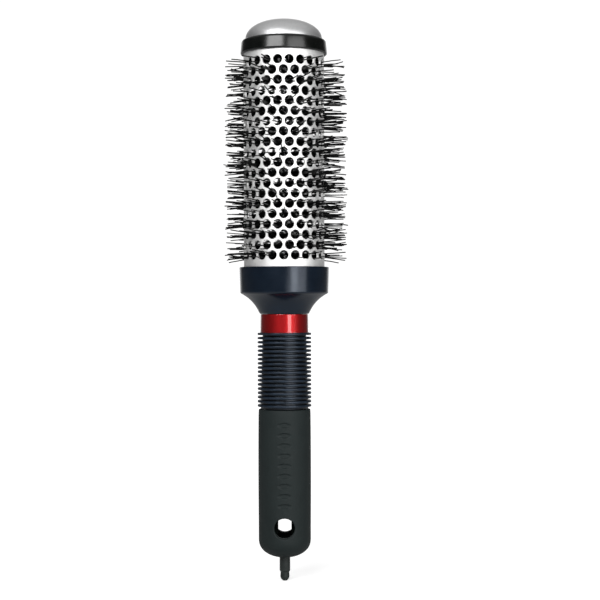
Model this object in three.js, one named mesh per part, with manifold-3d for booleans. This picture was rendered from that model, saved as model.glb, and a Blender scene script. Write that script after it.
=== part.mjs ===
// Round barrel brush for styling hair: a perforated aluminium barrel on a soft two-part grip.
// Millimetres, +Z up. The brush's axis is Z, the tip of its tail pin is at the origin and its
// domed end is at the top.
import * as THREE from 'three';
import { mergeVertices } from 'three/addons/utils/BufferGeometryUtils.js';
import Module from 'manifold-3d';

const wasm = await Module();
wasm.setup();

// ---- Driving dimensions ----
const GAP = 0.3; // clearance between pieces that touch on the real brush
const OVERALL_LENGTH = 264;

const BARREL_R = 19;
const BARREL_WALL = 0.8;
const BARREL_BOTTOM = 138.3;
const BARREL_TOP = 251.5;

const HOLE_ROWS = 20;
const HOLES_PER_ROW = 22;
const HOLE_R = 2.35; // to the corners of the four-sided hole
const TOP_ROW_Z = 242.95;
const ROW_PITCH = 4.737;

const BRISTLE_R = 28;
const BRISTLE_ROOT_R = 6;
const BRISTLE_THICKNESS = 1;

const STEM_WIRE_R = 0.6;
const STEM_HELIX_R = 0.8;
const STEM_PITCH = 5;
const STEM_BOTTOM = 115.5;
const STEM_TOP = 248.5;
const STEM_BORE_R = 2;

const COLLAR_BOTTOM = 247.8;
const COLLAR_TOP = 254.7;
const COLLAR_R = 20.5;
const DOME_R = 18.1;
const DOME_BASE = 252.3;
const DOME_EDGE = 254.9;

const CUP_FLOOR = 138;
const CUP_RIM_Z = 147.7;
const CUP_RIM_R = 21.1;
const FLARE_BOTTOM = 125.7;

const BAND_BOTTOM = 116.95;
const BAND_TOP = 125.4;
const BAND_BOTTOM_R = 11.35;
const BAND_TOP_R = 11.2;

const RIB_COUNT = 18;
const RIB_PITCH = 1.976;
const TOP_RIB_Z = 116.2;
const RIB_THICKNESS = 1.1;
const RIB_R = 12.7;
const RIB_SLEEVE_BOTTOM = 81.2;

const GRIP_TOP = 80.9;
const GRIP_R = 12.3;
const GRIP_BOTTOM = 11.3;
const GRIP_SHOULDER = 20; // where the rounded end meets the straight side

const CORE_GRIP_R = 8.7; // inside the smooth grip
const CORE_NECK_R = 8; // inside the ribs, the band and the cup
const CORE_TOP = 143.5;
const SOCKET_R = 2.9;
const SOCKET_FLOOR = 113.5;
const PIN_R = 2.49;

const HANG_HOLE_R = 4.75;
const HANG_HOLE_Z = 26;
const WINDOW_WIDTH = 6.35;
const WINDOW_HEIGHT = 9.9;

const ROUND_SIDES = 22;

// ---- Materials ----
function material(color, roughness, metalness) {
  return new THREE.MeshStandardMaterial({ color, roughness, metalness });
}

const aluminium = material(0xd9dadb, 0.35, 1);
const steel = material(0xc4c6c8, 0.25, 1);
const satinGrey = material(0xa5a6a7, 0.4, 0.6);
const glossBlack = material(0x0c0d0f, 0.12, 0);
const darkNavy = material(0x1c242f, 0.3, 0);
const metallicRed = material(0xb41c1e, 0.22, 0.8);
const softGrip = material(0x303434, 0.75, 0);
const ribRubber = material(0x262c34, 0.65, 0);
const nylon = material(0x101012, 0.45, 0);
const innerPlastic = material(0x2c3030, 0.55, 0);

// ---- Helpers ----
const brush = new THREE.Group();

function addPiece(name, geometry, pieceMaterial) {
  const mesh = new THREE.Mesh(geometry, pieceMaterial);
  mesh.name = name;
  brush.add(mesh);
}

// Turns a profile of [radius, z] points about the Z axis. The profile runs anticlockwise, seen
// with radius to the right and z up: up the outside and down the inside or the axis.
function turned(profile, sides = ROUND_SIDES) {
  const points = profile.map(([r, z]) => new THREE.Vector2(r, z));
  return new THREE.LatheGeometry(points, sides).rotateX(Math.PI / 2);
}

function closedRing(profile, sides = ROUND_SIDES) {
  return turned([...profile, profile[0]], sides);
}

// Points along a circular arc in the [radius, z] plane.
function arcPoints(centreR, centreZ, radius, fromDegrees, toDegrees, steps) {
  const points = [];
  for (let i = 0; i <= steps; i += 1) {
    const angle = THREE.MathUtils.degToRad(fromDegrees + ((toDegrees - fromDegrees) * i) / steps);
    points.push([centreR + radius * Math.cos(angle), centreZ + radius * Math.sin(angle)]);
  }
  return points;
}

function toSolid(geometry) {
  const bare = geometry.clone();
  bare.deleteAttribute('normal');
  bare.deleteAttribute('uv');
  const merged = mergeVertices(bare, 1e-5);
  const mesh = new wasm.Mesh({
    numProp: 3,
    vertProperties: new Float32Array(merged.attributes.position.array),
    triVerts: new Uint32Array(merged.index.array),
  });
  return new wasm.Manifold(mesh);
}

function toGeometry(solid) {
  const mesh = solid.getMesh();
  const geometry = new THREE.BufferGeometry();
  geometry.setAttribute('position', new THREE.BufferAttribute(mesh.vertProperties, 3));
  geometry.setIndex(new THREE.BufferAttribute(mesh.triVerts, 1));
  geometry.computeVertexNormals();
  return geometry;
}

function cut(geometry, cutters) {
  const tools = wasm.Manifold.union(cutters.map(toSolid));
  return toGeometry(toSolid(geometry).subtract(tools));
}

function rowZ(row) {
  return TOP_ROW_Z - ROW_PITCH * row;
}

// The first hole's angle in a row. Neighbouring rows are half a pitch apart.
function rowStart(row) {
  const pitch = (2 * Math.PI) / HOLES_PER_ROW;
  return row % 2 === 0 ? pitch / 2 : 0;
}

// ---- Barrel and its end pieces ----
function makeBarrelTube() {
  const inner = BARREL_R - BARREL_WALL;
  const tube = closedRing([
    [inner, BARREL_BOTTOM],
    [BARREL_R, BARREL_BOTTOM],
    [BARREL_R, BARREL_TOP],
    [inner, BARREL_TOP],
  ]);
  const cutters = [];
  for (let row = 0; row < HOLE_ROWS; row += 1) {
    for (let i = 0; i < HOLES_PER_ROW / 2; i += 1) {
      // One four-sided bar right across the tube cuts two opposite holes.
      const bar = new THREE.CylinderGeometry(HOLE_R, HOLE_R, 3 * BARREL_R, 4);
      bar.rotateZ(rowStart(row) + (2 * Math.PI * i) / HOLES_PER_ROW);
      bar.translate(0, 0, rowZ(row));
      cutters.push(bar);
    }
  }
  addPiece('barrel_tube', cut(tube, cutters), aluminium);
}

// A ring of bristle tufts: spikes on a hub that lies round the stem wires, one through each hole.
function makeBristleRow(row) {
  const outline = new THREE.Shape();
  for (let i = 0; i < 2 * HOLES_PER_ROW; i += 1) {
    const radius = i % 2 === 0 ? BRISTLE_R : BRISTLE_ROOT_R;
    const angle = Math.PI / 2 + rowStart(row) + (Math.PI * i) / HOLES_PER_ROW;
    const x = radius * Math.cos(angle);
    const y = radius * Math.sin(angle);
    if (i === 0) {
      outline.moveTo(x, y);
    } else {
      outline.lineTo(x, y);
    }
  }
  const bore = new THREE.Path();
  bore.absarc(0, 0, STEM_BORE_R, 0, 2 * Math.PI, true);
  outline.holes.push(bore);
  const ring = new THREE.ExtrudeGeometry(outline, {
    depth: BRISTLE_THICKNESS,
    bevelEnabled: false,
    curveSegments: 4,
  });
  ring.translate(0, 0, rowZ(row) - BRISTLE_THICKNESS / 2);
  addPiece(`bristle_row_${String(row + 1).padStart(2, '0')}`, ring, nylon);
}

class StrandCurve extends THREE.Curve {
  constructor(phase) {
    super();
    this.phase = phase;
  }

  getPoint(t, target = new THREE.Vector3()) {
    const rise = (STEM_TOP - STEM_BOTTOM) * t;
    const angle = this.phase + (2 * Math.PI * rise) / STEM_PITCH;
    return target.set(
      STEM_HELIX_R * Math.cos(angle),
      STEM_HELIX_R * Math.sin(angle),
      STEM_BOTTOM + rise,
    );
  }
}

function makeStemWire(name, phase) {
  const section = new THREE.Shape();
  section.absarc(0, 0, STEM_WIRE_R, 0, 2 * Math.PI, false);
  const strand = new THREE.ExtrudeGeometry(section, {
    steps: Math.round((5 * (STEM_TOP - STEM_BOTTOM)) / STEM_PITCH),
    curveSegments: 2,
    bevelEnabled: false,
    extrudePath: new StrandCurve(phase),
  });
  addPiece(name, strand, steel);
}

// A metal sleeve on the wires' lower ends, in the core's socket.
function makeStemCrimp() {
  const outer = SOCKET_R - GAP;
  const inner = STEM_WIRE_R + STEM_HELIX_R + GAP;
  const bottom = SOCKET_FLOOR + 1;
  const top = bottom + 12;
  const sleeve = closedRing(
    [
      [inner, bottom],
      [outer, bottom],
      [outer, top],
      [inner, top],
    ],
    12,
  );
  addPiece('stem_crimp', sleeve, steel);
}

function makeTopPlug() {
  const rim = BARREL_R - BARREL_WALL - GAP;
  const floor = COLLAR_BOTTOM - 1.6;
  const plug = closedRing([
    [STEM_BORE_R, floor],
    [rim, floor],
    [rim, BARREL_TOP],
    [rim - 1.2, BARREL_TOP],
    [rim - 1.2, floor + 1.6],
    [STEM_BORE_R + 2, floor + 1.6],
    [STEM_BORE_R + 2, BARREL_TOP],
    [STEM_BORE_R, BARREL_TOP],
  ]);
  addPiece('top_plug', plug, innerPlastic);
}

function makeBottomPlug() {
  const rim = BARREL_R - BARREL_WALL - GAP;
  const bore = CORE_NECK_R + GAP;
  const floor = CUP_FLOOR + GAP;
  const plug = closedRing([
    [bore, floor],
    [rim, floor],
    [rim, CORE_TOP],
    [rim - 1.4, CORE_TOP],
    [rim - 1.4, floor + 1.6],
    [bore + 1.4, floor + 1.6],
    [bore + 1.4, CORE_TOP],
    [bore, CORE_TOP],
  ]);
  addPiece('bottom_plug', plug, innerPlastic);
}

// The ring over the barrel's top end. Its lip lies on the tube and round the dome's edge.
function makeCapCollar() {
  const mouth = BARREL_R + GAP;
  const lip = DOME_R + GAP;
  const lipUnderside = BARREL_TOP + GAP;
  const outer = [
    [COLLAR_R - 0.5, COLLAR_BOTTOM],
    [COLLAR_R, COLLAR_BOTTOM + 0.7],
    [COLLAR_R - 0.4, 252],
    ...arcPoints(18.5, COLLAR_TOP - 1.4, 1.4, 20, 90, 3),
  ];
  const inner = [
    [lip, COLLAR_TOP - 0.1],
    [lip, lipUnderside],
    [mouth, lipUnderside],
    [mouth, COLLAR_BOTTOM],
  ];
  addPiece('cap_collar', closedRing([...outer, ...inner]), glossBlack);
}

// A domed cap, hollow below, with a peg that goes into the top plug's bore.
function makeDomeCap() {
  const height = OVERALL_LENGTH - DOME_EDGE;
  const wall = 1.6;
  const pegR = STEM_BORE_R - GAP;
  const roof = DOME_EDGE + height - 2 * wall;
  const profile = [
    [0, STEM_TOP + GAP],
    [pegR, STEM_TOP + GAP],
    [pegR, roof - 1],
    [0.6 * DOME_R, DOME_EDGE + 0.6 * height - wall],
    [DOME_R - wall, DOME_BASE],
    [DOME_R, DOME_BASE],
  ];
  const steps = 7;
  for (let i = 0; i < steps; i += 1) {
    const angle = (Math.PI / 2) * (i / steps);
    profile.push([DOME_R * Math.cos(angle), DOME_EDGE + height * Math.sin(angle)]);
  }
  profile.push([0, OVERALL_LENGTH]);
  addPiece('dome_cap', turned(profile), satinGrey);
}

// ---- Ferrule, band and grips ----
// A cup for the barrel's lower end, on a trumpet that narrows down to the band.
function makeFerruleCup() {
  const bore = CORE_NECK_R + GAP;
  const mouth = BARREL_R + GAP;
  const sweepR = 18;
  const startR = 11.94;
  const startZ = FLARE_BOTTOM + 0.8;
  const startAngle = THREE.MathUtils.degToRad(24);
  const flare = arcPoints(
    startR + sweepR * Math.cos(startAngle),
    startZ - sweepR * Math.sin(startAngle),
    sweepR,
    180 - 24,
    180 - 62,
    6,
  );
  const profile = [
    [bore, FLARE_BOTTOM],
    [11.5, FLARE_BOTTOM],
    ...flare,
    [20.5, 135.6],
    [20.77, 136.5],
    [CUP_RIM_R, CUP_RIM_Z],
    [mouth, CUP_RIM_Z],
    [mouth, CUP_FLOOR],
    [bore, CUP_FLOOR],
  ];
  addPiece('ferrule_cup', closedRing(profile), darkNavy);
}

function makeAccentBand() {
  const bore = CORE_NECK_R + GAP;
  const band = closedRing([
    [bore, BAND_BOTTOM],
    [BAND_BOTTOM_R, BAND_BOTTOM],
    [BAND_TOP_R, BAND_TOP],
    [bore, BAND_TOP],
  ]);
  addPiece('accent_band', band, metallicRed);
}

// The finger grip: thin square-edged fins, with a groove between each pair that gets shallower
// towards the bottom.
function makeRibSleeve() {
  const bore = CORE_NECK_R + GAP;
  const top = TOP_RIB_Z + RIB_THICKNESS / 2;
  const grooveR = (z) => THREE.MathUtils.mapLinear(z, RIB_SLEEVE_BOTTOM, top, 11.2, 10.3);
  const profile = [
    [bore, RIB_SLEEVE_BOTTOM],
    [grooveR(RIB_SLEEVE_BOTTOM), RIB_SLEEVE_BOTTOM],
  ];
  for (let i = RIB_COUNT - 1; i >= 0; i -= 1) {
    const z = TOP_RIB_Z - RIB_PITCH * i;
    profile.push([RIB_R, z - RIB_THICKNESS / 2], [RIB_R, z + RIB_THICKNESS / 2]);
    if (i > 0) {
      profile.push([grooveR(z), z + RIB_PITCH / 2]);
    }
  }
  profile.push([bore, top]);
  addPiece('rib_sleeve', closedRing(profile, 16), ribRubber);
}

function hangHoleCutter() {
  const bar = new THREE.CylinderGeometry(HANG_HOLE_R, HANG_HOLE_R, 4 * GRIP_R, 16);
  return bar.translate(0, 0, HANG_HOLE_Z);
}

function makeGripSleeve() {
  const bore = CORE_GRIP_R + GAP;
  const pinBore = PIN_R + GAP;
  const roundedEnd = [];
  const steps = 7;
  for (let i = 0; i < steps; i += 1) {
    const angle = (Math.PI / 2) * (i / steps);
    roundedEnd.push([
      pinBore + (GRIP_R - pinBore) * Math.sin(angle) ** 1.25,
      GRIP_SHOULDER - (GRIP_SHOULDER - GRIP_BOTTOM) * Math.cos(angle) ** 0.8,
    ]);
  }
  const sleeve = closedRing([
    ...roundedEnd,
    [GRIP_R, GRIP_SHOULDER],
    [GRIP_R + 0.1, 45],
    [GRIP_R - 0.1, GRIP_TOP - 0.6],
    [GRIP_R - 0.6, GRIP_TOP],
    [bore, GRIP_TOP],
    [bore, 15.6],
    [pinBore, 14],
  ]);
  addPiece('grip_sleeve', cut(sleeve, [hangHoleCutter()]), softGrip);
}

// The rigid core: the tail pin, the body inside the grips with its window for a hook, and the
// neck that the band, cup and barrel sit on, with the stem's socket in its top.
function makeHandleCore() {
  const body = turned([
    [0, 0],
    [0.9, 0],
    [1.93, 1],
    [2.17, 1.9],
    [2.04, 4.3],
    [PIN_R, 4.8],
    [PIN_R, 14.2],
    [CORE_GRIP_R, 16],
    [CORE_GRIP_R, GRIP_TOP],
    [CORE_NECK_R, GRIP_TOP],
    [CORE_NECK_R, CORE_TOP],
    [SOCKET_R, CORE_TOP],
    [SOCKET_R, SOCKET_FLOOR],
    [0, SOCKET_FLOOR],
  ]);
  const hookWindow = new THREE.BoxGeometry(WINDOW_WIDTH, 4 * GRIP_R, WINDOW_HEIGHT);
  hookWindow.translate(0, 0, HANG_HOLE_Z);
  addPiece('handle_core', cut(body, [hookWindow]), innerPlastic);
}

makeDomeCap();
makeCapCollar();
makeTopPlug();
makeBarrelTube();
makeStemWire('stem_wire_a', 0);
makeStemWire('stem_wire_b', Math.PI);
makeStemCrimp();
makeBottomPlug();
makeFerruleCup();
makeAccentBand();
makeRibSleeve();
makeGripSleeve();
makeHandleCore();
for (let row = 0; row < HOLE_ROWS; row += 1) {
  makeBristleRow(row);
}

export default brush;
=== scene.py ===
"""Round barrel brush: the visual model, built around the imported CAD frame.

Metres, +Z up, the brush's axis on Z with its tail pin's tip at the origin. Profiles are [r, z] lists.
"""

import math
import random

import bmesh
import bpy
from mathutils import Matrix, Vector


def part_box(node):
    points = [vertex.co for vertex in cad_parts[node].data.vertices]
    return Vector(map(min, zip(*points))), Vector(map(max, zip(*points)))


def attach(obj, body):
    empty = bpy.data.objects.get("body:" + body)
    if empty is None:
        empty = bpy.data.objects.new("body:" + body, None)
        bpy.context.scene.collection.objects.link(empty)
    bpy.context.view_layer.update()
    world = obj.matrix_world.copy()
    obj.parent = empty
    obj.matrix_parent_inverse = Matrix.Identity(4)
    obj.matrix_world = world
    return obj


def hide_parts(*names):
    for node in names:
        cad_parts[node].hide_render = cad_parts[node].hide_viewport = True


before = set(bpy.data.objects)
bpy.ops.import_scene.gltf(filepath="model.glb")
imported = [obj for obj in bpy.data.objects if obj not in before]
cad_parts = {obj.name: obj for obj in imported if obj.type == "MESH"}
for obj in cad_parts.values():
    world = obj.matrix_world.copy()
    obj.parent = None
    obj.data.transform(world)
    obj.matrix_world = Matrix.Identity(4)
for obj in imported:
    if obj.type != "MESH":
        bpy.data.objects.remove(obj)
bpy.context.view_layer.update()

MM = 0.001
FULL_TURN = 2 * math.pi
SMOOTH_SIDES = 144  # round a large turned piece
CORE_SIDES = 96
SHARP_ANGLE = math.radians(32)
LONG_SIDE = 1.5 * MM  # a profile's sides over this length can be kept straight
SIDE_INSET = 0.2 * MM
FIT_GAP = 0.2 * MM  # between the barrel and the parts on its ends
FINE_FILLET = 0.15 * MM  # on small edges

HOLES_PER_ROW = 22
ROW_COUNT = 20
HOLE_R = 2.18 * MM
HOLE_EDGE = 0.08 * MM  # rounding of a hole's outer edge
BARREL_WALL = 0.8 * MM
BARREL_WELD = 0.002 * MM  # corners of neighbouring cells closer than this are one
PLAIN_END_START = 0.8  # in rows past the last row of holes
DRAWN_R = 18.3 * MM  # the barrel's metal is as drawn inside this radius
SATIN_R = 18.7 * MM  # and satin outside this one

TIP_R = 28.1 * MM
TIP_SHIFT = 1.0 * MM  # the bristles are trimmed a little off centre, towards +X
TRIM_SPREAD = 0.5 * MM
FILAMENT_R = 0.25 * MM
FILAMENT_SPREAD = (0.9, 1.12)  # of a filament's thickness
FILAMENT_SWELL = 0.2  # how much thicker it is at its root than at its tip
FILAMENT_END = 0.12 * MM  # length of the narrowing at its tip
FILAMENT_TIP = 0.45  # of its thickness, at its very end
FILAMENT_STEPS = 6  # outside the barrel
FILAMENT_SIDES = 6
EDGE_CLEARANCE = 1.6 * FILAMENT_R  # between a hole's edge and a filament's middle
TUFT_SIZES = (2, 2, 3, 3, 3, 4, 4)
END_ROW_SIZES = (1, 1, 2)  # the first row's tufts are thin
GAP_SIZES = (1, 1, 2)
STUB_SIZES = (2, 2, 3)  # bristles of a tuft that end part of the way out
STUB_EXTENTS = (0.04, 0.22)  # how far out they end, from the barrel 0 to the trimmed surface 1
HIDDEN_SIZES = (3, 4, 5)  # bristles that miss a hole's mouth and stay inside the barrel
SHEET_PITCH = 14.5 * MM  # the twisted stem holds the bristles as one helical sheet
SHEET_GAP_AT = 229.1 * MM  # a height where the gap between the sheet's turns is at GAP_ANGLE
GAP_ANGLE = math.radians(-30)
GAP_HALF_WIDTH = math.radians(62)

TUFT_LEAN_Z = 0.035  # spreads of a tuft's lean, in mm up or sideways for each mm out
TUFT_LEAN_SIDE = 0.06
TUFT_CURL = 0.003 / MM
STRAYS = (0.01, 0.025, 0.05)  # spreads of a filament's own lean
STRAY_CURL = 0.1  # of its lean
KEPT_SLOPE = 0.45  # how much of its slope inside the barrel a filament keeps outside
ROOT_HALF_HEIGHT = 1.4 * MM
ROOT_HALF_WIDTH = 0.5 * MM
WAVE = (0.01 * MM, 0.04 * MM)
WAVE_LENGTH = 0.7 * MM  # for each radian
HIDDEN_SPREAD = 0.14  # radians to each side of the hole
HIDDEN_ROOT = 1.7 * MM
HIDDEN_GATHER = 0.3  # how much of its height it loses on the way out
HIDDEN_SIDES = 5
HIDDEN_BENDS = (0.05, 0.12)
HIDDEN_ROUTE = ((0.1, 0), (0.5, 0.1), (0.85, 0.5), (1, 1.3))  # share of the way out, and swing

STRAND_R = 0.74 * MM
STRAND_HELIX_R = 0.78 * MM
STRAND_PITCH = 5 * MM
STRAND_STEPS = 20  # for each turn
STRAND_SIDES = 10

DOME_HEIGHT = 9.4 * MM
DOME_EDGE_DEPTH = 9.1 * MM  # below the CAD dome's top
DOME_FULLNESS = 2.12  # 2 is an ellipse, and more is a squarer curve
DOME_WALL = 1.5 * MM
DOME_STEPS = 28
DOME_SKIRT_START = 4.6 * MM  # above the collar's bottom
COLLAR_DROP = 0.1 * MM  # its top, below the CAD collar's
COLLAR_TAPER = 0.65 * MM
COLLAR_FOOT_FILLET = 0.75 * MM
COLLAR_TOP_FILLET = 1.5 * MM
COLLAR_SEAT_GAP = 0.25 * MM  # round the dome

NECK_BORE = 8.3 * MM  # of the parts on the core's neck
CUP_DEPTH = 9.7 * MM
CUP_BASE_R = 20.72 * MM
CUP_BASE_START = 10 * MM  # above the trumpet's bottom
CUP_BASE_FILLET = 0.7 * MM
CUP_RIM_FILLET = 0.3 * MM
FLARE_START = 0.8 * MM  # above the trumpet's bottom
FLARE_SWEEP = 18 * MM  # radius of the trumpet's curve
FLARE_START_R = 11.94 * MM
FLARE_FROM = 24  # degrees of the trumpet's slope, at its bottom and at the cup
FLARE_TO = 63
BAND_BOTTOM_R = 11.35 * MM
BAND_TOP_R = 11.2 * MM
BAND_FILLET = 0.25 * MM
BAND_OVERLAP = 0.2 * MM  # with the part above it and the part below it

RIB_COUNT = 18
RIB_THICKNESS = 1.12 * MM
RIB_TAPER = 0.94  # of its thickness, at its face
RIB_ROOT_FILLET = 0.14 * MM
RIB_FACE_FILLET = 0.24 * MM
LAST_RIB_START = 1.4 * MM  # from the sleeve's bottom to the lowest rib's middle
FIRST_RIB_START = 0.45 * MM  # from its top to the highest one's
RIB_GROOVE_R = 11.2 * MM  # at the lowest groove
RIB_GROOVE_DEEPER = 0.9 * MM  # at the highest one

HANG_HOLE_R = 4.75 * MM
HANG_RIM = 0.7 * MM
HANG_HOLE_Z = 26 * MM
WINDOW_WIDTH = 6.35 * MM
WINDOW_HEIGHT = 9.9 * MM
WINDOW_FILLET = 0.8 * MM
CUTTER_HALF_LENGTH = 20 * MM

GRIP_R = 12.28 * MM
GRIP_SWELL = 0.12 * MM
GRIP_TOP_R = 12.2 * MM
GRIP_TOP_EDGE = 2.5 * MM
GRIP_TOP_FILLET = 0.5 * MM
GRIP_END_CURVE = (1.25, 0.8)  # powers of sine and cosine, for an egg-shaped end
GRIP_BORE = 9 * MM
GRIP_PIN_BORE = 2.75 * MM
GRIP_FLOOR = 2.6 * MM
GRIP_COLUMNS = 160
GRIP_END_STEPS = 20
GRIP_COARSE_ROW = 0.8 * MM
GRIP_FINE_ROW = 0.25 * MM  # where the dimples are
PATCH_HEIGHT = 12 * MM  # of the finer mesh round the hang hole
PATCH_ANGLE = math.radians(40.5)  # to each side
PATCH_RINGS = 6
PATCH_EASE = 0.8  # under 1 draws its rings together towards the hole
RIM_RINGS = 6

DIMPLE_COUNT = 9
DIMPLE_TOP = 74 * MM
DIMPLE_PITCH = 4.7 * MM
DIMPLE_WIDTH = 6.2 * MM
DIMPLE_HEIGHT = 2.3 * MM
DIMPLE_DEPTH = 0.55 * MM
DIMPLE_STEEPNESS = 2.2

PIN_R = 2.49 * MM
PIN_TOP = 14.2 * MM
CORE_R = 8.7 * MM
CORE_BOTTOM = 16 * MM
CORE_NECK_R = 8.0 * MM
SOCKET_R = 2.9 * MM
SOCKET_SPARE = 1 * MM  # below the crimp in it
# from here up to CORE_BOTTOM the core's colour fades into painted shade, which it keeps inside the grip
BARE_PIN_TOP = 12 * MM  # the core is satin up to here

CAMERA_PLACE = (7.4 * MM, -0.67, 0.1322)
CAMERA_LENS = 85.2
CAMERA_ROLL = 0.13
SOFTBOX_DISTANCE = 0.8
STUDIO_LEVEL = 0.05
BACKDROP_LEVEL = 1.0
BACKDROP_EDGE = (0.78, 0.93)  # how much a direction points at it, where it starts and is full
CEILING_LEVEL = 0.55
CEILING_EDGE = (0.35, 0.9)
FLOOR_HALF_SIZE = 6
FLOOR_GLOW = (0.6, 1.0)  # by the brush and far from it
FLOOR_GLOW_REACH = (0.1, 1.2)  # metres from the brush


# ---- Places taken from the frame ----
def bottom_of(node):
    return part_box(node)[0].z


def top_of(node):
    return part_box(node)[1].z


def middle_of(node):
    return (bottom_of(node) + top_of(node)) / 2


def radius_of(node):
    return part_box(node)[1].y


# ---- Mesh helpers ----
def rounded(corners, steps=5):
    """An outline from corners (r, z) or (r, z, fillet). A fillet rounds its corner with an arc."""
    points = []
    for i, corner in enumerate(corners):
        here = Vector(corner[:2])
        if len(corner) == 2:
            points.append(tuple(here))
            continue
        fillet = corner[2]
        to_before = (Vector(corners[i - 1][:2]) - here).normalized()
        to_after = (Vector(corners[(i + 1) % len(corners)][:2]) - here).normalized()
        half = to_before.angle(to_after) / 2
        centre = here + (to_before + to_after).normalized() * (fillet / math.sin(half))
        start = here + to_before * (fillet / math.tan(half)) - centre
        end = here + to_after * (fillet / math.tan(half)) - centre
        first = math.atan2(start.y, start.x)
        sweep = (math.atan2(end.y, end.x) - first + math.pi) % FULL_TURN - math.pi
        for k in range(steps + 1):
            angle = first + sweep * k / steps
            points.append((centre.x + fillet * math.cos(angle), centre.y + fillet * math.sin(angle)))
    return points


def arc(centre_r, centre_z, radius, from_degrees, to_degrees, steps):
    points = []
    for k in range(steps + 1):
        angle = math.radians(from_degrees + (to_degrees - from_degrees) * k / steps)
        points.append((centre_r + radius * math.cos(angle), centre_z + radius * math.sin(angle)))
    return points


def mesh_piece(name, vertices, faces, merge=0.0):
    """A new object with smooth faces, outward normals and crisp edges past SHARP_ANGLE."""
    mesh = bpy.data.meshes.new(name)
    mesh.from_pydata(vertices, [], faces)
    shape = bmesh.new()
    shape.from_mesh(mesh)
    unused = [vertex for vertex in shape.verts if not vertex.link_faces]
    bmesh.ops.delete(shape, geom=unused, context="VERTS")
    if merge:
        bmesh.ops.remove_doubles(shape, verts=shape.verts, dist=merge)
    bmesh.ops.recalc_face_normals(shape, faces=shape.faces)
    for face in shape.faces:
        face.smooth = True
    shape.to_mesh(mesh)
    shape.free()
    mesh.set_sharp_from_angle(angle=SHARP_ANGLE)
    piece = bpy.data.objects.new(name, mesh)
    bpy.context.scene.collection.objects.link(piece)
    return piece


def join_loops(faces, first, second):
    """Adds the faces between two closed loops of vertex numbers. A repeated corner is left out."""
    for k in range(len(first)):
        after = (k + 1) % len(first)
        corners = [first[k], first[after], second[after], second[k]]
        faces.append(list(dict.fromkeys(corners)))


def with_straight_sides(outline):
    """Adds a point near each end of every long side, so that smooth shading keeps the side straight."""
    points = []
    for here, after in zip(outline, outline[1:] + outline[:1]):
        points.append(here)
        side = Vector(after) - Vector(here)
        if side.length > LONG_SIDE:
            inset = side.normalized() * SIDE_INSET
            points.append(tuple(Vector(here) + inset))
            points.append(tuple(Vector(after) - inset))
    return points


def turned(name, outline, sides=SMOOTH_SIDES, closed=False):
    """Turns an outline about Z. An open outline starts and ends on the axis."""
    vertices = []
    rings = []
    for r, z in outline:
        if r < 1e-7:
            rings.append([len(vertices)] * sides)
            vertices.append((0, 0, z))
            continue
        rings.append(list(range(len(vertices), len(vertices) + sides)))
        for k in range(sides):
            angle = FULL_TURN * k / sides
            vertices.append((r * math.cos(angle), r * math.sin(angle), z))
    pairs = list(zip(rings, rings[1:]))
    if closed:
        pairs.append((rings[-1], rings[0]))
    faces = []
    for lower, upper in pairs:
        join_loops(faces, lower, upper)
    return mesh_piece(name, vertices, faces)


def add_tube(vertices, faces, path, radii, sides):
    """Adds a tube along a path to a mesh in the making, with closed ends."""
    side_axis = Vector((0, 0, 1))
    rings = []
    for i, here in enumerate(path):
        along = (path[min(i + 1, len(path) - 1)] - path[max(i - 1, 0)]).normalized()
        across = along.cross(side_axis).normalized()
        upright = across.cross(along)
        rings.append(range(len(vertices), len(vertices) + sides))
        for k in range(sides):
            angle = FULL_TURN * k / sides
            out = across * math.cos(angle) + upright * math.sin(angle)
            vertices.append(here + out * radii[i])
    for lower, upper in zip(rings, rings[1:]):
        join_loops(faces, lower, upper)
    faces.append(list(reversed(rings[0])))
    faces.append(list(rings[-1]))


def finish_piece(piece, node, material):
    """Puts a piece on the brush's one body, in place of its CAD node."""
    piece.data.materials.append(material)
    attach(piece, "root")
    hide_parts(node)


# ---- Material helpers ----
def math_node(tree, operation, first, second):
    node = tree.nodes.new("ShaderNodeMath")
    node.operation = operation
    for socket, value in zip(node.inputs, (first, second)):
        if isinstance(value, (int, float)):
            socket.default_value = value
        else:
            tree.links.new(value, socket)
    return node.outputs["Value"]


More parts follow.
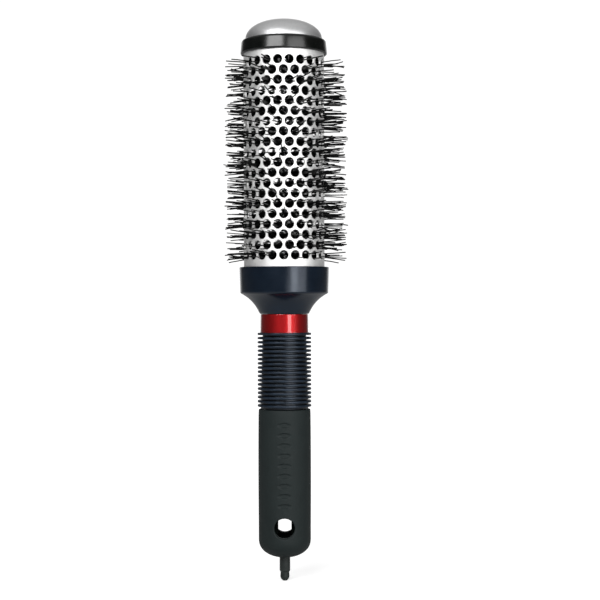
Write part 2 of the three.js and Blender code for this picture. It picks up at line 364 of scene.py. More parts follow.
class Surface:
    """A Principled material with short calls for the nodes that vary it over the surface."""

    def __init__(self, name, roughness, metallic=0.0):
        self.material = bpy.data.materials.new(name)
        self.material.use_nodes = True
        self.tree = self.material.node_tree
        self.shader = self.tree.nodes["Principled BSDF"]
        self.shader.inputs["Roughness"].default_value = roughness
        self.shader.inputs["Metallic"].default_value = metallic
        self.place = self.tree.nodes.new("ShaderNodeTexCoord").outputs["Object"]

    def stretched(self, scale):
        mapping = self.tree.nodes.new("ShaderNodeMapping")
        mapping.inputs["Scale"].default_value = scale
        self.tree.links.new(self.place, mapping.inputs["Vector"])
        return mapping.outputs["Vector"]

    def noise(self, scale, detail=3.0, place=None):
        node = self.tree.nodes.new("ShaderNodeTexNoise")
        node.inputs["Scale"].default_value = scale
        node.inputs["Detail"].default_value = detail
        self.tree.links.new(place or self.place, node.inputs["Vector"])
        return node.outputs["Fac"]

    def cells(self, scale):
        node = self.tree.nodes.new("ShaderNodeTexVoronoi")
        node.inputs["Scale"].default_value = scale
        self.tree.links.new(self.place, node.inputs["Vector"])
        separate = self.tree.nodes.new("ShaderNodeSeparateColor")
        self.tree.links.new(node.outputs["Color"], separate.inputs["Color"])
        return separate.outputs["Red"]

    def distance(self, weights):
        """How far a place is from the origin, with each axis weighted."""
        length = self.tree.nodes.new("ShaderNodeVectorMath")
        length.operation = "LENGTH"
        self.tree.links.new(self.stretched(weights), length.inputs[0])
        return length.outputs["Value"]

    def height(self):
        separate = self.tree.nodes.new("ShaderNodeSeparateXYZ")
        self.tree.links.new(self.place, separate.inputs["Vector"])
        return separate.outputs["Z"]

    def ranged(self, value, low, high, start=0.3, end=0.7):
        node = self.tree.nodes.new("ShaderNodeMapRange")
        node.inputs["From Min"].default_value = start
        node.inputs["From Max"].default_value = end
        node.inputs["To Min"].default_value = low
        node.inputs["To Max"].default_value = high
        self.tree.links.new(value, node.inputs["Value"])
        return node.outputs["Result"]

    def colour(self, value, first, second, start=0.3, end=0.7):
        ramp = self.tree.nodes.new("ShaderNodeValToRGB")
        ramp.color_ramp.elements[0].position = start
        ramp.color_ramp.elements[0].color = (*first, 1)
        ramp.color_ramp.elements[1].position = end
        ramp.color_ramp.elements[1].color = (*second, 1)
        self.tree.links.new(value, ramp.inputs["Fac"])
        self.tree.links.new(ramp.outputs["Color"], self.shader.inputs["Base Color"])

    def roughness(self, value):
        self.tree.links.new(value, self.shader.inputs["Roughness"])

    def bump(self, height, strength, distance):
        node = self.tree.nodes.new("ShaderNodeBump")
        node.inputs["Strength"].default_value = strength
        node.inputs["Distance"].default_value = distance
        self.tree.links.new(height, node.inputs["Height"])
        self.tree.links.new(node.outputs["Normal"], self.shader.inputs["Normal"])

    def shine(self, level, tint=(1, 1, 1)):
        self.shader.inputs["Specular IOR Level"].default_value = level
        self.shader.inputs["Specular Tint"].default_value = (*tint, 1)

    def metal(self, value):
        self.tree.links.new(value, self.shader.inputs["Metallic"])

    def shine_by(self, value):
        self.tree.links.new(value, self.shader.inputs["Specular IOR Level"])

    def coat(self, weight, roughness):
        self.shader.inputs["Coat Weight"].default_value = weight
        self.shader.inputs["Coat Roughness"].default_value = roughness


# ---- Materials ----
def satin_aluminium():
    """Satin outside. The tube's inside is left as drawn: paler and more matt."""
    surface = Surface("satin_aluminium", 0.55, metallic=1.0)
    polished = surface.ranged(surface.distance((1, 1, 0)), 0, 1, DRAWN_R, SATIN_R)
    surface.metal(surface.ranged(polished, 0.3, 1, 0, 1))
    grain = surface.noise(5200, detail=4)
    streaks = surface.noise(900, detail=2, place=surface.stretched((1, 1, 7)))
    surface.colour(grain, (0.78, 0.78, 0.775), (0.93, 0.93, 0.925))
    surface.roughness(surface.ranged(streaks, 0.56, 0.66))
    surface.bump(grain, 0.35, 0.03 * MM)
    return surface.material


def bright_steel():
    surface = Surface("bright_steel", 0.22, metallic=1.0)
    drawn = surface.noise(1400, detail=3)
    surface.colour(drawn, (0.62, 0.63, 0.64), (0.86, 0.87, 0.88))
    surface.roughness(surface.ranged(drawn, 0.15, 0.32))
    return surface.material


def silver_cap_paint():
    surface = Surface("silver_cap_paint", 0.36, metallic=0.8)
    flakes = surface.cells(9000)
    clouds = surface.noise(120, detail=2)
    surface.colour(flakes, (0.44, 0.442, 0.445), (0.57, 0.572, 0.575), 0.0, 1.0)
    surface.roughness(surface.ranged(clouds, 0.37, 0.45))
    surface.bump(flakes, 0.2, 0.01 * MM)
    return surface.material


def gloss_black():
    surface = Surface("gloss_black", 0.12)
    smears = surface.noise(260, detail=4)
    surface.colour(smears, (0.001, 0.0014, 0.001), (0.002, 0.0026, 0.002))
    surface.roughness(surface.ranged(smears, 0.18, 0.25))
    return surface.material


def navy_plastic():
    surface = Surface("navy_plastic", 0.25)
    surface.shine(0.38, (0.8, 0.88, 1.0))
    mottle = surface.noise(180, detail=3)
    texture = surface.noise(4200, detail=2)
    surface.colour(mottle, (0.0012, 0.004, 0.009), (0.002, 0.0056, 0.0118))
    surface.roughness(surface.ranged(mottle, 0.19, 0.25))
    surface.bump(texture, 0.05, 0.02 * MM)
    return surface.material


def metallic_red():
    surface = Surface("metallic_red", 0.3, metallic=0.85)
    flakes = surface.cells(11000)
    clouds = surface.noise(300)
    surface.colour(flakes, (0.25, 0.0015, 0.003), (0.35, 0.005, 0.007), 0.0, 1.0)
    surface.roughness(surface.ranged(clouds, 0.36, 0.44))
    surface.coat(0.9, 0.08)
    return surface.material


def rib_rubber():
    """Painted shade: the colour is darker down in the grooves than on the fins' faces."""
    surface = Surface("rib_rubber", 0.38)
    surface.shine(0.34, (0.8, 0.88, 1.0))
    mottle = surface.noise(350, detail=3)
    texture = surface.noise(6000, detail=2)
    face_r = radius_of("rib_sleeve")
    # painted shade: this mask makes the colour much darker down in the grooves, where the fins shade them
    groove_shade_mask = surface.ranged(surface.distance((1, 1, 0)), 0, 1, face_r - 1 * MM, face_r - 0.2 * MM)
    shade = math_node(surface.tree, "MULTIPLY", mottle, groove_shade_mask)
    surface.colour(shade, (0.0004, 0.0007, 0.0012), (0.0085, 0.0155, 0.0265), 0, 0.7)
    surface.roughness(surface.ranged(mottle, 0.28, 0.38))
    surface.bump(texture, 0.15, 0.02 * MM)
    return surface.material


def soft_grip_rubber():
    surface = Surface("soft_grip_rubber", 0.62)
    surface.shine(0.2)
    mottle = surface.noise(150, detail=4)
    texture = surface.noise(3800, detail=3)
    surface.colour(mottle, (0.007, 0.0112, 0.0114), (0.0096, 0.0144, 0.0144))
    surface.roughness(surface.ranged(mottle, 0.56, 0.7))
    surface.bump(texture, 0.3, 0.03 * MM)
    return surface.material


def core_plastic():
    """Satin on the tail pin, which stands out of the grip. Inside the grip the core is matt, and its colour
    there is painted shade, darker than the pin.
    """
    surface = Surface("core_plastic", 0.45)
    satin_pin_vs_painted_shade = surface.ranged(surface.height(), 1, 0, BARE_PIN_TOP, CORE_BOTTOM)
    mottle = surface.noise(400, detail=3)
    # painted shade: the colour goes dark where the core is inside the grip
    shade = math_node(surface.tree, "MULTIPLY", mottle, satin_pin_vs_painted_shade)
    surface.colour(shade, (0.003, 0.0042, 0.0038), (0.017, 0.022, 0.021), 0, 0.7)
    surface.shine_by(surface.ranged(satin_pin_vs_painted_shade, 0, 0.25, 0, 1))
    surface.roughness(surface.ranged(mottle, 0.38, 0.52))
    surface.bump(surface.noise(3000), 0.15, 0.02 * MM)
    return surface.material


def black_nylon():
    surface = Surface("black_nylon", 0.4)
    surface.shine(0.12)
    shade = surface.noise(500, detail=2)
    surface.colour(shade, (0.0008, 0.001, 0.001), (0.003, 0.0032, 0.0032))
    surface.roughness(surface.ranged(shade, 0.34, 0.46))
    return surface.material


# ---- Barrel ----
def cell_edge(pitch, rise, steps):
    """The six-sided cell round one hole of a staggered grid, as (along, up) points."""
    side = rise / 2 - pitch**2 / (8 * rise)
    peak = rise / 2 + pitch**2 / (8 * rise)
    half = pitch / 2
    corners = [(half, -side), (half, side), (0, peak), (-half, side), (-half, -side), (0, -peak)]
    points = []
    for (x0, y0), (x1, y1) in zip(corners, corners[1:] + corners[:1]):
        for k in range(steps):
            points.append((x0 + (x1 - x0) * k / steps, y0 + (y1 - y0) * k / steps))
    return points


def on_barrel(along, up, radius, outer):
    angle = along / outer
    return (radius * math.sin(angle), -radius * math.cos(angle), up)


def row_start(row):
    """The first hole's place round the barrel in pitches. Neighbouring rows are half a pitch apart."""
    return 0.5 if row % 2 == 0 else 0.0


def barrel_end(vertices, faces, zigzag, stops):
    """Closes the tube past its last row: from the zigzag edge of the cells out along the stops."""
    columns = []
    for along, up, outer, inner in zigzag:
        column = [on_barrel(along, up, outer, outer)]
        column += [on_barrel(along, z, outer, outer) for z in stops]
        column += [on_barrel(along, z, inner, outer) for z in reversed(stops)]
        column.append(on_barrel(along, up, inner, outer))
        columns.append(len(vertices))
        vertices.extend(column)
    height = 2 * len(stops) + 2
    for left, right in zip(columns, columns[1:] + columns[:1]):
        for k in range(height - 1):
            faces.append([left + k, right + k, right + k + 1, left + k + 1])


def make_barrel(rows):
    """A tube with a round hole for each tuft. Each hole's edge is rounded and its wall is real."""
    outer = radius_of("barrel_tube")
    inner = outer - BARREL_WALL
    pitch = FULL_TURN * outer / HOLES_PER_ROW
    rise = rows[0] - rows[1]
    edge = cell_edge(pitch, rise, steps=5)
    bevel = 0.3 * HOLE_EDGE
    rings = [
        (HOLE_R + 4 * HOLE_EDGE, outer),
        (HOLE_R + HOLE_EDGE, outer),
        (HOLE_R + bevel, outer - bevel),
        (HOLE_R, outer - HOLE_EDGE),
        (HOLE_R, inner + HOLE_EDGE / 2),
        (HOLE_R + HOLE_EDGE / 2, inner),
    ]
    vertices = []
    faces = []
    for row, row_z in enumerate(rows):
        for hole in range(HOLES_PER_ROW):
            centre = (hole + row_start(row)) * pitch
            loops = [[on_barrel(centre + x, row_z + y, outer, outer) for x, y in edge]]
            for ring_r, radius in rings:
                loop = []
                for x, y in edge:
                    away = math.hypot(x, y)
                    along = centre + x * ring_r / away
                    up = row_z + y * ring_r / away
                    loop.append(on_barrel(along, up, radius, outer))
                loops.append(loop)
            loops.append([on_barrel(centre + x, row_z + y, inner, outer) for x, y in edge])
            numbers = []
            for loop in loops:
                numbers.append(range(len(vertices), len(vertices) + len(loop)))
                vertices.extend(loop)
            for first, second in zip(numbers, numbers[1:]):
                join_loops(faces, first, second)
    lowest_crest = rise / 2 - pitch**2 / (8 * rise) - 1e-9
    for row, sign, end in ((0, 1, top_of("barrel_tube")), (len(rows) - 1, -1, bottom_of("barrel_tube"))):
        crest = sorted((x, y) for x, y in edge if sign * y >= lowest_crest)
        zigzag = []
        for hole in range(HOLES_PER_ROW):
            centre = (hole + row_start(row)) * pitch
            for x, y in crest[:-1]:
                zigzag.append((centre + x, rows[row] + y, outer, inner))
        shelf = rows[row] + sign * PLAIN_END_START * rise
        barrel_end(vertices, faces, zigzag, [shelf, end])
    return mesh_piece("perforated_barrel", vertices, faces, merge=BARREL_WELD)


# ---- Bristles and their twisted stem ----
def in_gap(angle, z):
    """Whether a place round the stem is in the gap between two turns of the bristle sheet."""
    turned_by = FULL_TURN * (z - SHEET_GAP_AT) / SHEET_PITCH
    away = (angle - GAP_ANGLE + turned_by + math.pi) % FULL_TURN - math.pi
    return abs(away) < GAP_HALF_WIDTH


def tuft_habit(rng):
    """How a hole's bristles lie together: their shared lean and curl, and how far each strays."""
    return {
        "lean_z": rng.gauss(0, TUFT_LEAN_Z),
        "lean_side": rng.gauss(0, TUFT_LEAN_SIDE),
        "curl_z": rng.gauss(0, TUFT_CURL),
        "stray": rng.choice(STRAYS),
    }


def filament_path(rng, angle, row_z, wall_r, habit, extent):
    """One nylon filament: from the twisted stem, out through its hole, to the trimmed tip.

    An extent under 1 ends it part of the way from the barrel to the trimmed surface.
    """
    root_r = STRAND_HELIX_R + 0.5 * STRAND_R
    root_z = rng.uniform(-ROOT_HALF_HEIGHT, ROOT_HALF_HEIGHT)
    root_side = rng.uniform(-ROOT_HALF_WIDTH, ROOT_HALF_WIDTH)
    reach = (HOLE_R - EDGE_CLEARANCE) * math.sqrt(rng.random())
    turn = rng.uniform(0, FULL_TURN)
    hole_side = reach * math.cos(turn)
    hole_z = reach * math.sin(turn)
    inside = wall_r - root_r
    stray = habit["stray"]
    slope_z = (hole_z - root_z) / inside
    slope_side = (hole_side - root_side) / inside
    lean_z = habit["lean_z"] + KEPT_SLOPE * slope_z + rng.gauss(0, stray)
    lean_side = habit["lean_side"] + KEPT_SLOPE * slope_side + rng.gauss(0, stray)
    curl_z = habit["curl_z"] + rng.gauss(0, STRAY_CURL * stray) / MM
    trim = TIP_R + TIP_SHIFT * math.sin(angle) + rng.gauss(0, TRIM_SPREAD)
    wave = rng.uniform(*WAVE)
    phase = rng.uniform(0, FULL_TURN)
    outward = Vector((math.sin(angle), -math.cos(angle), 0))
    sideways = Vector((math.cos(angle), math.sin(angle), 0))
    path = []
    stations = [root_r, 0.5 * (root_r + wall_r), wall_r]
    for k in range(1, FILAMENT_STEPS + 1):
        stations.append(wall_r + (trim - wall_r) * extent * k / FILAMENT_STEPS)
    for r in stations:
        if r <= wall_r:
            share = (r - root_r) / inside
            z = root_z + (hole_z - root_z) * share
            side = root_side + (hole_side - root_side) * share
        else:
            past = r - wall_r
            ripple = wave * math.sin(phase + past / WAVE_LENGTH)
            z = hole_z + lean_z * past + curl_z * past**2 + ripple
            side = hole_side + lean_side * past
        path.append(outward * r + sideways * side + Vector((0, 0, row_z + z)))
    return path


def hidden_path(rng, angle, row_z, wall_r):
    """A filament that meets the barrel's inside between holes and bends along it."""
    angle += rng.uniform(-HIDDEN_SPREAD, HIDDEN_SPREAD)
    root_z = rng.uniform(-HIDDEN_ROOT, HIDDEN_ROOT)
    bend = rng.choice((-1, 1)) * rng.uniform(*HIDDEN_BENDS)
    limit = wall_r - BARREL_WALL
    path = []
    for share, swing in HIDDEN_ROUTE:
        here = angle + bend * swing
        z = row_z + root_z * (1 - HIDDEN_GATHER * share)
        path.append(Vector((limit * share * math.sin(here), -limit * share * math.cos(here), z)))
    return path


def tuft_extents(rng, row, open_here):
    """How far out each of a hole's bristles ends: 1 is at the trimmed surface."""
    if row == 0:
        return [1] * rng.choice(END_ROW_SIZES)
    if open_here:
        return [1] * rng.choice(GAP_SIZES)
    whole = [1] * rng.choice(TUFT_SIZES)
    return whole + [rng.uniform(*STUB_EXTENTS) for _ in range(rng.choice(STUB_SIZES))]


def add_filament(rng, vertices, faces, path):
    """Adds a tapering filament, with a narrow end past the last point of its path."""
    tip = path[-1] + (path[-1] - path[-2]).normalized() * FILAMENT_END
    thickness = FILAMENT_R * rng.uniform(*FILAMENT_SPREAD)
    radii = [thickness * (1 + FILAMENT_SWELL - FILAMENT_SWELL * k / len(path)) for k in range(len(path))]
    add_tube(vertices, faces, path + [tip], radii + [FILAMENT_TIP * thickness], FILAMENT_SIDES)


def make_bristle_row(row, row_z, wall_r):
    rng = random.Random(1000 + row)
    vertices = []
    faces = []
    for hole in range(HOLES_PER_ROW):
        angle = (hole + row_start(row)) * FULL_TURN / HOLES_PER_ROW
        open_here = in_gap(angle, row_z)
        habit = tuft_habit(rng)
        for extent in tuft_extents(rng, row, open_here):
            add_filament(rng, vertices, faces, filament_path(rng, angle, row_z, wall_r, habit, extent))
        hidden = 0 if open_here else rng.choice(HIDDEN_SIZES)
        for _ in range(hidden):
            path = hidden_path(rng, angle, row_z, wall_r)
            add_tube(vertices, faces, path, [FILAMENT_R] * len(path), HIDDEN_SIDES)
    return mesh_piece(f"nylon_tufts_{row + 1:02d}", vertices, faces)


def make_strand(name, phase, bottom, top):
    steps = round(STRAND_STEPS * (top - bottom) / STRAND_PITCH)
    path = []
    for k in range(steps + 1):
        z = bottom + (top - bottom) * k / steps
        angle = phase - FULL_TURN * (z - bottom) / STRAND_PITCH
        path.append(Vector((STRAND_HELIX_R * math.cos(angle), STRAND_HELIX_R * math.sin(angle), z)))
    vertices = []
    faces = []
    add_tube(vertices, faces, path, [STRAND_R] * len(path), STRAND_SIDES)
    return mesh_piece(name, vertices, faces)


# ---- Cap and collar ----
def make_dome():
    """A hollow satin dome, a little fuller than an ellipse. A short skirt goes down into the collar."""
    edge_z = top_of("dome_cap") - DOME_EDGE_DEPTH
    base_z = bottom_of("cap_collar") + DOME_SKIRT_START
    base_r = radius_of("dome_cap")
    outside = []
    inside = []
    for k in range(DOME_STEPS + 1):
        angle = math.pi / 2 * k / DOME_STEPS
        across = max(math.cos(angle), 0) ** (2 / DOME_FULLNESS)
        up = math.sin(angle) ** (2 / DOME_FULLNESS)
        outside.append((base_r * across, edge_z + DOME_HEIGHT * up))
        inside.append(((base_r - DOME_WALL) * across, edge_z + (DOME_HEIGHT - DOME_WALL) * up))
    skirt = [(base_r - DOME_WALL, base_z), (base_r, base_z)]
    return turned("silver_dome", list(reversed(inside)) + skirt + outside)


def make_collar():
    bottom = bottom_of("cap_collar")
    top = top_of("cap_collar") - COLLAR_DROP
    outer = radius_of("cap_collar")
    seat_r = radius_of("dome_cap") + COLLAR_SEAT_GAP
    bore_r = radius_of("barrel_tube") + FIT_GAP
    lip_z = top_of("barrel_tube") + FIT_GAP
    outline = rounded(
        [
            (bore_r, bottom),
            (outer, bottom, COLLAR_FOOT_FILLET),
            (outer - COLLAR_TAPER, top, COLLAR_TOP_FILLET),
            (seat_r, top, FINE_FILLET),
            (seat_r, lip_z),
            (bore_r, lip_z),
        ],
        steps=7,
    )
    return turned("gloss_collar", outline, closed=True)


# ---- Ferrule, band and grips ----
def make_ferrule():
    bottom = bottom_of("ferrule_cup")
    rim_z = top_of("ferrule_cup")
    rim_r = radius_of("ferrule_cup")
    cup_r = radius_of("barrel_tube") + FIT_GAP
    start_z = bottom + FLARE_START
    tilt = math.radians(FLARE_FROM)
    centre_r = FLARE_START_R + FLARE_SWEEP * math.cos(tilt)
    centre_z = start_z - FLARE_SWEEP * math.sin(tilt)
    flare = arc(centre_r, centre_z, FLARE_SWEEP, 180 - FLARE_FROM, 180 - FLARE_TO, 20)
    foot = [(NECK_BORE, bottom), (BAND_BOTTOM_R, bottom, 0.2 * MM), (FLARE_START_R, start_z)]
    lower = rounded(foot)[:-1]
    upper = rounded(
        [
            flare[-1],
            (CUP_BASE_R, bottom + CUP_BASE_START, CUP_BASE_FILLET),
            (rim_r, rim_z, CUP_RIM_FILLET),
            (cup_r, rim_z, FINE_FILLET),
            (cup_r, rim_z - CUP_DEPTH),
            (NECK_BORE, rim_z - CUP_DEPTH),
        ]
    )[1:]
    return turned("navy_ferrule", with_straight_sides(lower + flare + upper), closed=True)


def make_band():
    """Its ends go a little way into the parts above and below it."""
    bottom = bottom_of("accent_band") - BAND_OVERLAP
    top = top_of("accent_band") + BAND_OVERLAP
    outline = rounded(
        [
            (NECK_BORE, bottom),
            (BAND_BOTTOM_R, bottom, BAND_FILLET),
            (BAND_TOP_R, top, BAND_FILLET),
            (NECK_BORE, top),
        ]
    )
    return turned("red_band", with_straight_sides(outline), closed=True)


def make_rib_sleeve():
    """Square-faced fins with softened edges. The grooves get shallower towards the bottom."""
    bottom = bottom_of("rib_sleeve")
    top = top_of("rib_sleeve")
    rib_r = radius_of("rib_sleeve")
    last_rib = bottom + LAST_RIB_START
    first_rib = top - FIRST_RIB_START
    pitch = (first_rib - last_rib) / (RIB_COUNT - 1)
    half = RIB_THICKNESS / 2
    half_face = half * RIB_TAPER
    corners = [(NECK_BORE, bottom), (RIB_GROOVE_R - 0.05 * MM, bottom)]
    for k in range(RIB_COUNT):
        rib_z = last_rib + pitch * k
        groove_r = RIB_GROOVE_R - RIB_GROOVE_DEEPER * k / (RIB_COUNT - 1)
        corners.append((groove_r, rib_z - half, RIB_ROOT_FILLET))
        corners.append((rib_r, rib_z - half_face, RIB_FACE_FILLET))
        corners.append((rib_r, rib_z + half_face, RIB_FACE_FILLET))
        if k < RIB_COUNT - 1:
            corners.append((groove_r, rib_z + half, RIB_ROOT_FILLET))
    corners.append((rib_r - 1.2 * MM, first_rib + half))
    corners.append((NECK_BORE, first_rib + half))
    return turned("ribbed_sleeve", rounded(corners, steps=3), closed=True)


def grip_rows():
    """The grip's rows, bottom to top, as ((outer r, z), (bore r, z)) pairs."""
    bottom = bottom_of("grip_sleeve")
    top = top_of("grip_sleeve")
    shoulder = HANG_HOLE_Z - PATCH_HEIGHT / 2
    sine_power, cosine_power = GRIP_END_CURVE
    rows = []
    for k in range(GRIP_END_STEPS):
        # A full, egg-shaped end that rolls over into the grip's side.
        turn = math.pi / 2 * k / GRIP_END_STEPS
        r = GRIP_PIN_BORE + (GRIP_R - GRIP_PIN_BORE) * math.sin(turn) ** sine_power
        z = shoulder - (shoulder - bottom) * math.cos(turn) ** cosine_power
        bore_r = GRIP_PIN_BORE + (GRIP_BORE - GRIP_PIN_BORE) * min(1, 1.2 * k / GRIP_END_STEPS)
        rows.append(((r, z), (bore_r, bottom + GRIP_FLOOR + 0.1 * MM * k)))
    body_top = top - GRIP_TOP_EDGE
    z = shoulder
    while z < body_top:
        rows.append(((grip_body_r(z), z), (GRIP_BORE, z)))
        z += GRIP_COARSE_ROW if z < HANG_HOLE_Z + PATCH_HEIGHT / 2 else GRIP_FINE_ROW
    edge = rounded([(grip_body_r(body_top), body_top), (GRIP_TOP_R, top, GRIP_TOP_FILLET), (GRIP_BORE, top)])
    for k, point in enumerate(edge[:-1]):
        rows.append((point, (GRIP_BORE, body_top + 0.3 * MM * k)))
    return rows


def grip_body_r(z):
    """The grip's outer radius above its rounded bottom: very slightly barrelled."""
    share = (z - HANG_HOLE_Z) / (top_of("grip_sleeve") - HANG_HOLE_Z)
    return GRIP_R + GRIP_SWELL * math.sin(math.pi * min(max(share, 0), 1))


def dimple_depth(x, z):
    """A column of plain oval dimples down the front of the grip."""
    depth = 0.0
    for k in range(DIMPLE_COUNT):
        centre_z = DIMPLE_TOP - DIMPLE_PITCH * k
        away = (x / (DIMPLE_WIDTH / 2)) ** 2 + ((z - centre_z) / (DIMPLE_HEIGHT / 2)) ** 2
        if away < 1:
            depth = max(depth, DIMPLE_DEPTH * min(1, DIMPLE_STEEPNESS * (1 - away)))
    return depth


def grip_point(column, r, z):
    """A point of the grip's grid. Column 0 faces the front, -Y."""
    angle = FULL_TURN * column / GRIP_COLUMNS
    x = r * math.sin(angle)
    if math.cos(angle) > 0 and r > GRIP_BORE:
        r -= dimple_depth(x, z)
    return (r * math.sin(angle), -r * math.cos(angle), z)


def patch_loop(low, high, half):
    """The (column, row) places round a rectangular patch, in order."""
    loop = [(column, low) for column in range(-half, half)]
    loop += [(half, row) for row in range(low, high)]
    loop += [(column, high) for column in range(half, -half, -1)]
    loop += [(-half, row) for row in range(high, low, -1)]
    return loop


def grip_wall_point(x, z, side, outer, depth=0.0):
    """A point of the front (side -1) or back wall, on its outer or its bore surface."""
    r = grip_body_r(z) if outer else GRIP_BORE
    low_edge = HANG_HOLE_Z - PATCH_HEIGHT / 2
    return (x, side * (math.sqrt(max(r * r - x * x, 0)) - depth), max(z, low_edge))


def hole_ring(flat, radius, share, side, outer, depth=0.0):
    """A patch's edge (x, z) moved by a share of the way to a circle round the hang hole."""
    ring = []
    for x, z in flat:
        away = math.hypot(x, z - HANG_HOLE_Z)
        goal_x = x * radius / away
        goal_z = HANG_HOLE_Z + (z - HANG_HOLE_Z) * radius / away
        ring.append(grip_wall_point(x + (goal_x - x) * share, z + (goal_z - z) * share, side, outer, depth))
    return ring


def hole_rings(loop_points, side, outer):
    """Rings from a patch's edge in to the hang hole. The outer surface rolls over into the hole."""
    flat = [(x, z) for x, _, z in loop_points]
    rim = HANG_HOLE_R + (HANG_RIM if outer else 0)
    rings = []
    for k in range(1, PATCH_RINGS + 1):
        rings.append(hole_ring(flat, rim, (k / PATCH_RINGS) ** PATCH_EASE, side, outer))
    if outer:
        for k in range(1, RIM_RINGS + 1):
            turn = math.pi / 2 * k / RIM_RINGS
            radius = HANG_HOLE_R + HANG_RIM * (1 - math.sin(turn))
            rings.append(hole_ring(flat, radius, 1, side, outer, HANG_RIM * (1 - math.cos(turn))))
    return rings


def make_grip():
    """A soft shell with a rounded bottom, plain dimples and a round hole through both walls."""
    rows = grip_rows()
    half = round(GRIP_COLUMNS * PATCH_ANGLE / FULL_TURN)
    heights = [outer[1] for outer, _ in rows]
    low = min(i for i, z in enumerate(heights) if z >= HANG_HOLE_Z - PATCH_HEIGHT / 2 - 1e-9)
    high = max(i for i, z in enumerate(heights) if z <= HANG_HOLE_Z + PATCH_HEIGHT / 2 + 0.5 * MM)
    vertices = []
    grids = []
    for kind in (0, 1):
        grid = []
        for row in rows:
            r, z = row[kind]
            grid.append(range(len(vertices), len(vertices) + GRIP_COLUMNS))
            vertices.extend(grip_point(column, r, z) for column in range(GRIP_COLUMNS))
        grids.append(grid)

    def in_patch(column, row):
        if not low <= row < high:
            return False
        back = GRIP_COLUMNS // 2
        return any((column - centre + half) % GRIP_COLUMNS < 2 * half for centre in (0, back))

    faces = []
    for grid in grids:
        for row, (lower, upper) in enumerate(zip(grid, grid[1:])):
            for column in range(GRIP_COLUMNS):
                if in_patch(column, row):
                    continue
                after = (column + 1) % GRIP_COLUMNS
                faces.append([lower[column], lower[after], upper[after], upper[column]])
    for row in (0, -1):
        join_loops(faces, grids[0][row], grids[1][row])
    for centre, side in ((0, -1), (GRIP_COLUMNS // 2, 1)):
        loop = patch_loop(low, high, half)
        ends = []
        for kind, grid in enumerate(grids):
            before = [grid[row][(column + centre) % GRIP_COLUMNS] for column, row in loop]
            for ring in hole_rings([vertices[i] for i in before], side, kind == 0):
                numbers = range(len(vertices), len(vertices) + len(ring))
                vertices.extend(ring)
                join_loops(faces, before, numbers)
                before = numbers
            ends.append(before)
        join_loops(faces, ends[0], ends[1])
    return mesh_piece("soft_grip", vertices, faces)


def cut_box(piece, name, size, centre, fillet):
    """Cuts a round-cornered opening along Y right through a piece."""
    half_x, half_z = size[0] / 2, size[1] / 2
    corners = ((half_x, -half_z), (half_x, half_z), (-half_x, half_z), (-half_x, -half_z))
    outline = rounded([(x, z, fillet) for x, z in corners])
    vertices = [(x, y, centre + z) for y in (-CUTTER_HALF_LENGTH, CUTTER_HALF_LENGTH) for x, z in outline]
    count = len(outline)
    faces = [[k, (k + 1) % count, count + (k + 1) % count, count + k] for k in range(count)]
    faces += [list(range(count)), list(range(count, 2 * count))]
    cutter = mesh_piece(name, vertices, faces)
    cut = piece.modifiers.new("opening", "BOOLEAN")
    cut.operation = "DIFFERENCE"
    cut.solver = "EXACT"
    cut.object = cutter
    view = bpy.context.evaluated_depsgraph_get()
    carved = bpy.data.meshes.new_from_object(piece.evaluated_get(view))
    piece.modifiers.clear()
    piece.data = carved
    bpy.data.objects.remove(cutter)
    carved.set_sharp_from_angle(angle=SHARP_ANGLE)
    return piece


def make_core():
    """The rigid core: the tail pin, the body in the grips with its window, and the neck."""
    top = top_of("handle_core")
    grip_top = top_of("grip_sleeve")
    pin = rounded(
        [
            (0, 0),
            (1.0 * MM, 0, 0.25 * MM),
            (1.93 * MM, 1.0 * MM, 0.4 * MM),
            (2.17 * MM, 1.95 * MM, 0.4 * MM),
            (2.04 * MM, 4.1 * MM, 0.2 * MM),
            (PIN_R, 4.75 * MM, 0.15 * MM),
            (PIN_R, PIN_TOP),
            (CORE_R, CORE_BOTTOM),
        ],
        steps=4,
    )
    neck = [(CORE_R, grip_top), (CORE_NECK_R, grip_top), (CORE_NECK_R, top), (SOCKET_R, top)]
    socket_floor = bottom_of("stem_crimp") - SOCKET_SPARE
    outline = pin + neck + [(SOCKET_R, socket_floor), (0, socket_floor)]
    core = turned("core_with_tail_pin", outline, sides=CORE_SIDES)
    return cut_box(core, "window_cutter", (WINDOW_WIDTH, WINDOW_HEIGHT), HANG_HOLE_Z, WINDOW_FILLET)


# ---- Setting: camera, lights, floor and surroundings ----
def make_camera():
    camera = bpy.data.cameras.new("camera")
    camera.lens = CAMERA_LENS
    camera.sensor_width = 36
    camera.clip_start = 0.01
    holder = bpy.data.objects.new("camera", camera)
    holder.location = CAMERA_PLACE
    holder.rotation_euler = (math.radians(90), math.radians(CAMERA_ROLL), 0)
    bpy.context.scene.collection.objects.link(holder)
    bpy.context.scene.camera = holder


def softbox(name, bearing, heights, width, radiance):
    """An upright soft lamp that faces the brush. Bearing 0 is in front and 90 is to the right."""
    lamp = bpy.data.lights.new(name, "AREA")
    lamp.shape = "RECTANGLE"
    lamp.size = width
    lamp.size_y = heights[1] - heights[0]
    lamp.energy = radiance * math.pi * lamp.size * lamp.size_y
    holder = bpy.data.objects.new(name, lamp)
    angle = math.radians(bearing)
    middle = (heights[0] + heights[1]) / 2
    holder.location = (SOFTBOX_DISTANCE * math.sin(angle), -SOFTBOX_DISTANCE * math.cos(angle), middle)
    holder.rotation_euler = (math.radians(90), 0, angle)
    holder.visible_camera = False
    bpy.context.scene.collection.objects.link(holder)


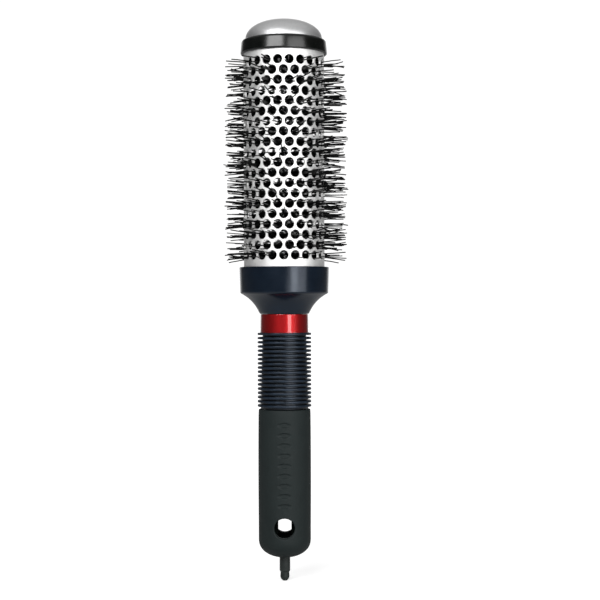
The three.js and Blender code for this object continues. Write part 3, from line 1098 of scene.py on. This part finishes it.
def make_floor():
    """A pale floor that stays white to the horizon and still takes a faint shadow by the brush."""
    size = FLOOR_HALF_SIZE
    vertices = [(-size, -size, 0), (size, -size, 0), (size, size, 0), (-size, size, 0)]
    floor = mesh_piece("floor", vertices, [[0, 1, 2, 3]])
    surface = Surface("pale_floor", 0.8)
    tree = surface.tree
    surface.colour(surface.noise(3), (0.6, 0.6, 0.6), (0.64, 0.64, 0.64))
    glow = surface.ranged(surface.distance((1, 1, 1)), *FLOOR_GLOW, *FLOOR_GLOW_REACH)
    seen = tree.nodes.new("ShaderNodeLightPath").outputs["Is Camera Ray"]
    surface.shader.inputs["Emission Color"].default_value = (1, 1, 1, 1)
    tree.links.new(math_node(tree, "MULTIPLY", glow, seen), surface.shader.inputs["Emission Strength"])
    floor.data.materials.append(surface.material)


def make_surroundings():
    """Plain white to the eye. In reflections, a dim studio with a white backdrop and a pale ceiling."""
    world = bpy.data.worlds.new("studio")
    world.use_nodes = True
    tree = world.node_tree
    tree.nodes.clear()
    direction = tree.nodes.new("ShaderNodeTexCoord").outputs["Generated"]
    separate = tree.nodes.new("ShaderNodeSeparateXYZ")
    tree.links.new(direction, separate.inputs["Vector"])
    level = STUDIO_LEVEL
    parts = (("Y", BACKDROP_EDGE, BACKDROP_LEVEL), ("Z", CEILING_EDGE, CEILING_LEVEL))
    for axis, (start, end), radiance in parts:
        ramp = tree.nodes.new("ShaderNodeMapRange")
        ramp.inputs["From Min"].default_value = start
        ramp.inputs["From Max"].default_value = end
        ramp.inputs["To Max"].default_value = radiance
        tree.links.new(separate.outputs[axis], ramp.inputs["Value"])
        level = math_node(tree, "ADD", level, ramp.outputs["Result"])
    seen = tree.nodes.new("ShaderNodeLightPath").outputs["Is Camera Ray"]
    background = tree.nodes.new("ShaderNodeBackground")
    background.inputs["Color"].default_value = (1, 1, 1, 1)
    tree.links.new(math_node(tree, "MAXIMUM", level, seen), background.inputs["Strength"])
    output = tree.nodes.new("ShaderNodeOutputWorld")
    tree.links.new(background.outputs["Background"], output.inputs["Surface"])
    bpy.context.scene.world = world


def make_setting():
    make_camera()
    make_floor()
    make_surroundings()
    softbox("right_low", 22, (0.0, 0.065), 0.42, 6.8)
    softbox("right_middle", 38.5, (0.065, 0.108), 0.56, 9.8)
    softbox("right_upper", 25, (0.108, 0.17), 0.23, 7.6)
    softbox("right_high", 34, (0.17, 0.64), 0.68, 3.6)
    softbox("left_high", -23.5, (0.36, 0.85), 0.62, 8.8)
    bpy.context.scene.view_settings.view_transform = "Standard"


# ---- The brush ----
def make_brush():
    rows = [middle_of(f"bristle_row_{k + 1:02d}") for k in range(ROW_COUNT)]
    wall_r = radius_of("barrel_tube") - BARREL_WALL / 2
    steel = bright_steel()
    core = core_plastic()
    nylon = black_nylon()
    finish_piece(make_dome(), "dome_cap", silver_cap_paint())
    finish_piece(make_collar(), "cap_collar", gloss_black())
    finish_piece(make_barrel(rows), "barrel_tube", satin_aluminium())
    for row, row_z in enumerate(rows):
        tufts = make_bristle_row(row, row_z, wall_r)
        finish_piece(tufts, f"bristle_row_{row + 1:02d}", nylon)
    for letter, phase in (("a", 0), ("b", math.pi)):
        node = f"stem_wire_{letter}"
        strand = make_strand(f"twisted_strand_{letter}", phase, bottom_of(node), top_of(node))
        finish_piece(strand, node, steel)
    finish_piece(make_ferrule(), "ferrule_cup", navy_plastic())
    finish_piece(make_band(), "accent_band", metallic_red())
    finish_piece(make_rib_sleeve(), "rib_sleeve", rib_rubber())
    finish_piece(make_grip(), "grip_sleeve", soft_grip_rubber())
    finish_piece(make_core(), "handle_core", core)
    for node, material in (("top_plug", core), ("bottom_plug", core), ("stem_crimp", steel)):
        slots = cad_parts[node].material_slots
        for place in slots:
            place.material = material


make_brush()
make_setting()
